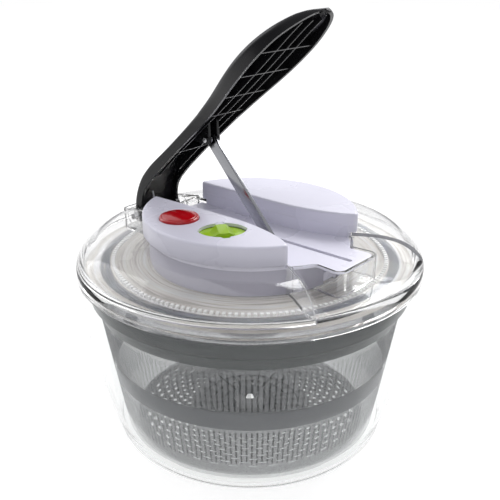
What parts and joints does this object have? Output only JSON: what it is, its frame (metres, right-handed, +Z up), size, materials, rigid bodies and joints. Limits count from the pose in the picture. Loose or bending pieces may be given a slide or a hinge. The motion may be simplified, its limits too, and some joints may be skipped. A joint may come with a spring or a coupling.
{
  "type": "salad spinner",
  "caption": "Round salad spinner with a clear bowl and lid, a slotted basket, a long pump lever, a stop button and a lock slider.",
  "frame": {"origin": "centre of the bowl's flat base, on the surface it stands on", "axes": "+Z up along the spin axis; +X towards the lever's free end and the lid's nose; the stop button and lock slider are on the -Y half"},
  "size_m": [0.26, 0.26, 0.3234],
  "materials": {
    "clear_bowl": "clear moulded plastic, glossy",
    "smoky_basket": "smoke grey translucent plastic",
    "clear_lid": "clear moulded plastic, glossy",
    "frosted_plate": "frosted clear plastic",
    "screw_steel": "plated steel",
    "white_cover": "smooth white plastic with a faint violet cast",
    "black_lever": "glossy black plastic",
    "pin_steel": "turned steel",
    "spring_steel": "drawn wire",
    "polished_link": "polished steel bar",
    "gear_plastic": "natural moulded plastic",
    "bush_brass": "turned brass",
    "frosted_disc": "frosted clear plastic",
    "red_button": "glossy red plastic",
    "brake_rubber": "matte black rubber",
    "green_lock": "glossy leaf green plastic"
  },
  "bodies": {
    "bowl": {"bowl": "clear_bowl"},
    "basket": {"basket": "smoky_basket"},
    "lid": {"lid_shell": "clear_lid", "lid_plate": "frosted_plate", "plate_screws": "screw_steel", "lid_cover": "white_cover", "hinge_pin": "pin_steel", "lever_spring": "spring_steel", "rack_rails": "white_cover", "gear_post": "pin_steel", "shaft_bush": "bush_brass", "button_spring": "spring_steel"},
    "lever": {"lever": "black_lever", "link_top_pin": "pin_steel"},
    "link": {"link": "polished_link", "link_foot_pin": "pin_steel"},
    "rack": {"rack": "gear_plastic"},
    "pinion": {"pinion_gear": "gear_plastic"},
    "sun": {"sun_gear": "gear_plastic", "drive_shaft": "pin_steel", "shaft_clip": "spring_steel"},
    "drive": {"drive_disc": "frosted_disc", "clutch_cup": "pin_steel", "clutch_rollers": "pin_steel"},
    "button": {"stop_button": "red_button", "brake_stem": "gear_plastic", "brake_pad": "brake_rubber"},
    "lock": {"lock_slider": "green_lock", "lock_bolt": "pin_steel"}
  },
  "joints": [
    {"name": "lid_lift", "type": "slide", "parent": "bowl", "child": "lid", "axis": [0, 0, 1], "range_m": [0, 0.12]},
    {"name": "basket_spin", "type": "hinge", "parent": "bowl", "child": "basket", "pos_m": [0, 0, 0.01], "axis": [0, 0, 1], "continuous": true},
    {"name": "lever_swing", "type": "hinge", "parent": "lid", "child": "lever", "pos_m": [-0.1015, 0, 0.154], "axis": [0, 1, 0], "range_deg": [0, 41.5], "stiffness_Nm_per_rad": 0.6, "springref_deg": -34.38, "deforming": ["lever_spring"]},
    {"name": "link_swing", "type": "hinge", "parent": "lever", "child": "link", "pos_m": [-0.03877, 0, 0.22441], "axis": [0, -1, 0], "range_deg": [0, 83]},
    {"name": "rack_slide", "type": "slide", "parent": "lid", "child": "rack", "axis": [1, 0, 0], "range_m": [0, 0.05541]},
    {"name": "pinion_spin", "type": "hinge", "parent": "lid", "child": "pinion", "pos_m": [0, 0.0165, 0.145], "axis": [0, 0, 1], "range_deg": [0, 352.75]},
    {"name": "sun_spin", "type": "hinge", "parent": "lid", "child": "sun", "pos_m": [0, 0, 0.145], "axis": [0, 0, -1], "range_deg": [0, 705.5]},
    {"name": "drive_spin", "type": "hinge", "parent": "lid", "child": "drive", "pos_m": [0, 0, 0.132], "axis": [0, 0, 1], "continuous": true},
    {"name": "button_press", "type": "slide", "parent": "lid", "child": "button", "axis": [0, 0, -1], "range_m": [0, 0.0021], "stiffness_N_per_m": 900, "springref_m": -0.002, "deforming": ["button_spring"]},
    {"name": "lock_slide", "type": "slide", "parent": "lid", "child": "lock", "axis": [0.6293, 0.7771, 0], "range_m": [0, 0.007]}
  ],
  "couplings": [
    {"joint": "link_swing", "follows": "lever_swing", "ratio": 2},
    {"joint": "rack_slide", "follows": "lever_swing", "m_per_rad": 0.0765},
    {"joint": "pinion_spin", "follows": "lever_swing", "ratio": 8.5},
    {"joint": "sun_spin", "follows": "lever_swing", "ratio": 17},
    {"joint": "drive_spin", "follows": "basket_spin", "ratio": 1}
  ]
}
